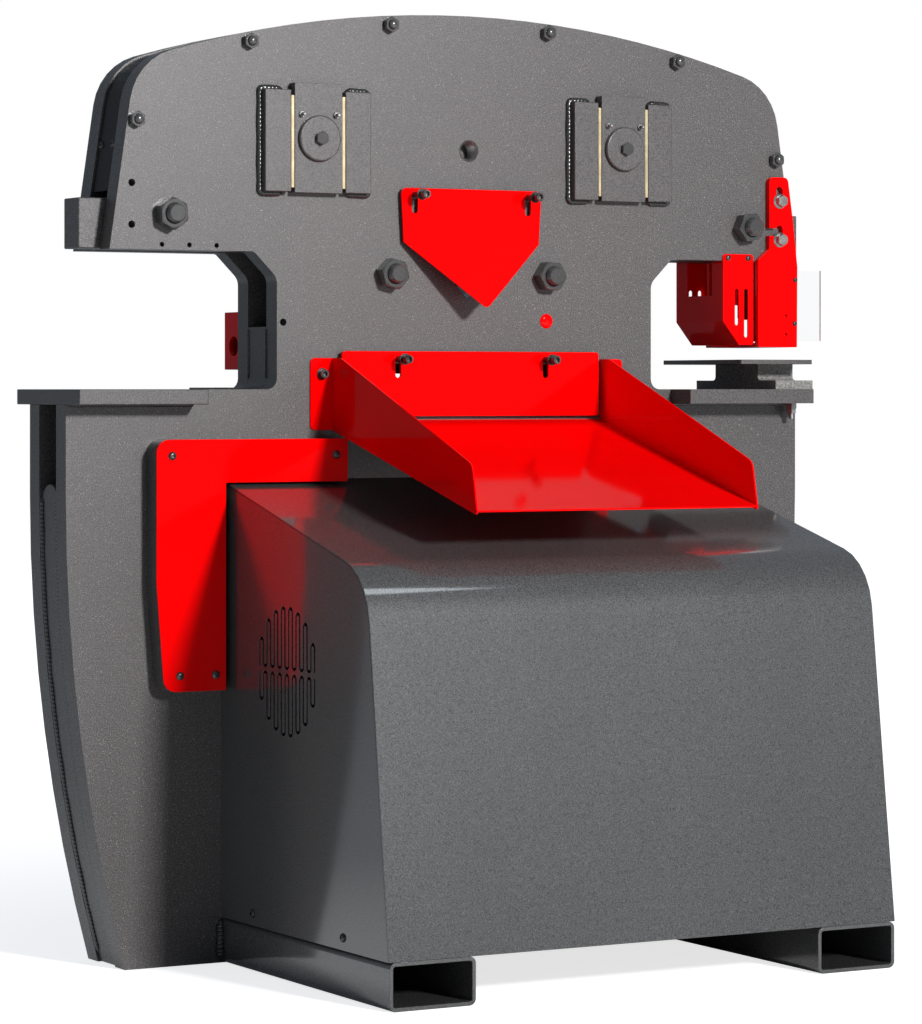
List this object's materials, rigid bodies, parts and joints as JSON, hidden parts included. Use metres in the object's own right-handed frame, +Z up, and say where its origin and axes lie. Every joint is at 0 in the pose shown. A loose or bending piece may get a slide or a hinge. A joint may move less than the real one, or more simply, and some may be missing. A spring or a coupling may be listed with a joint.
{
  "type": "ironworker",
  "caption": "Hydraulic ironworker with twin frame plates, gib-guided ram, punch, flat and angle shears, red guards, chute and a hooded power pack on fork tubes.",
  "frame": {"origin": "on the floor, midway between the two ram guides and midway between the frame plates", "axes": "+X along the plates towards the punch, +Y towards the rear, +Z up; the chute and hood are on the -Y side"},
  "size_m": [1.492, 0.919, 1.602],
  "materials": {
    "grey_coat": "fine speckled warm grey powder coat",
    "red_coat": "gloss red powder coat",
    "brass": "pale machined brass",
    "bare_steel": "bare steel",
    "black_steel": "black oxide and black paint",
    "tool_steel": "ground tool steel",
    "motor_paint": "satin motor paint",
    "rubber": "hydraulic hose",
    "clear_sheet": "clear polycarbonate"
  },
  "bodies": {
    "frame": {"front_plate": "grey_coat", "rear_plate": "grey_coat", "frame_spacers": "grey_coat", "edge_strips": "grey_coat", "crown_cover": "black_steel", "tie_rods": "bare_steel", "tie_spacers": "grey_coat", "tie_nuts": "bare_steel", "rim_studs": "bare_steel", "guide_rails": "grey_coat", "gib_strips": "brass", "left_table": "grey_coat", "right_table": "grey_coat", "bolster": "black_steel", "die": "tool_steel", "gauging_table": "grey_coat", "table_bolts": "bare_steel", "fixed_blades": "tool_steel", "chute": "red_coat", "side_box": "grey_coat", "side_cover": "red_coat", "cover_screws": "black_steel", "hood": "grey_coat", "hood_sides": "grey_coat", "fork_tubes": "grey_coat", "base_pan": "grey_coat", "motor": "motor_paint", "bell_housing": "grey_coat", "pump": "black_steel", "oil_tank": "grey_coat", "tank_lid": "grey_coat", "valve_block": "bare_steel", "hoses": "rubber", "cylinder_body": "black_steel", "cylinder_gland": "bare_steel", "punch_shroud": "red_coat", "guard_screws": "black_steel", "stripper_bolts": "bare_steel", "plug": "red_coat", "rear_cover": "grey_coat", "feed_table": "grey_coat", "hold_down": "red_coat"},
    "ram": {"ram_beam": "grey_coat", "guide_slides": "grey_coat", "slide_caps": "grey_coat", "cap_bolts": "black_steel", "grease_fittings": "bare_steel", "punch_holder": "tool_steel", "punch_nut": "black_steel", "punch": "tool_steel", "moving_blades": "tool_steel", "cylinder_rod": "bare_steel"},
    "angle_guard": {"angle_guard": "red_coat"},
    "shear_guard": {"shear_guard": "red_coat"},
    "stripper": {"stripper_arms": "red_coat", "stripper_plate": "red_coat", "shield": "clear_sheet"},
    "drive": {"drive_shaft": "bare_steel"}
  },
  "joints": [
    {"name": "ram_slide", "type": "slide", "parent": "frame", "child": "ram", "axis": [0, 0, -1], "range_m": [0, 0.038]},
    {"name": "angle_guard_lift", "type": "slide", "parent": "frame", "child": "angle_guard", "axis": [0, 0, 1], "range_m": [0, 0.025]},
    {"name": "shear_guard_lift", "type": "slide", "parent": "frame", "child": "shear_guard", "axis": [0, 0, 1], "range_m": [0, 0.025]},
    {"name": "stripper_lift", "type": "slide", "parent": "frame", "child": "stripper", "axis": [0, 0, 1], "range_m": [-0.018, 0]},
    {"name": "drive_spin", "type": "hinge", "parent": "frame", "child": "drive", "pos_m": [-0.095, -0.33, 0.3], "axis": [1, 0, 0], "continuous": true}
  ]
}
